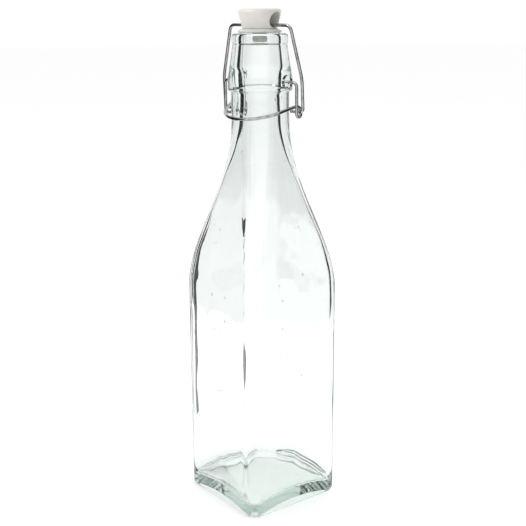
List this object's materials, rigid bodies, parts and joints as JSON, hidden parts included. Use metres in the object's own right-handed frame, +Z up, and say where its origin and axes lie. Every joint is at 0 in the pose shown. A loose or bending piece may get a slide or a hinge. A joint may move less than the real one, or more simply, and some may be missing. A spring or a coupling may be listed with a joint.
{
  "type": "swing top bottle",
  "caption": "Square clear-glass bottle with a long sloping neck, closed by a white stopper with a sealing washer on a hinged wire lever and bail.",
  "frame": {"origin": "centre of the base, on the surface that the bottle stands on", "axes": "+Z up along the bottle's axis; the flat sides face X and Y; the closure's pivot axis is turned 16 degrees from +X about +Z, with the lever's loop towards -Y"},
  "size_m": [0.062, 0.062, 0.2683],
  "materials": {
    "clear_glass": "clear, fire-polished, faintly green",
    "white_stopper": "moulded, softly glossy",
    "washer_rubber": "milky, translucent",
    "bright_wire": "bright drawn wire"
  },
  "bodies": {
    "bottle": {"glass_bottle": "clear_glass"},
    "lever": {"lever_wire": "bright_wire"},
    "bail": {"bail_wire": "bright_wire"},
    "stopper": {"stopper": "white_stopper", "sealing_washer": "washer_rubber"}
  },
  "joints": [
    {"name": "lever_swing", "type": "hinge", "parent": "bottle", "child": "lever", "pos_m": [0, 0, 0.2316], "axis": [-0.9613, -0.2756, 0], "range_deg": [0, 95]},
    {"name": "bail_swing", "type": "hinge", "parent": "lever", "child": "bail", "pos_m": [-0.00076, 0.00264, 0.2165], "axis": [-0.9613, -0.2756, 0], "range_deg": [-72, 0]},
    {"name": "stopper_tilt", "type": "hinge", "parent": "bail", "child": "stopper", "pos_m": [0, 0, 0.2601], "axis": [-0.9613, -0.2756, 0], "range_deg": [-40, 0]}
  ],
  "couplings": [
    {"joint": "bail_swing", "follows": "lever_swing", "ratio": -0.66},
    {"joint": "stopper_tilt", "follows": "lever_swing", "ratio": -0.34}
  ]
}
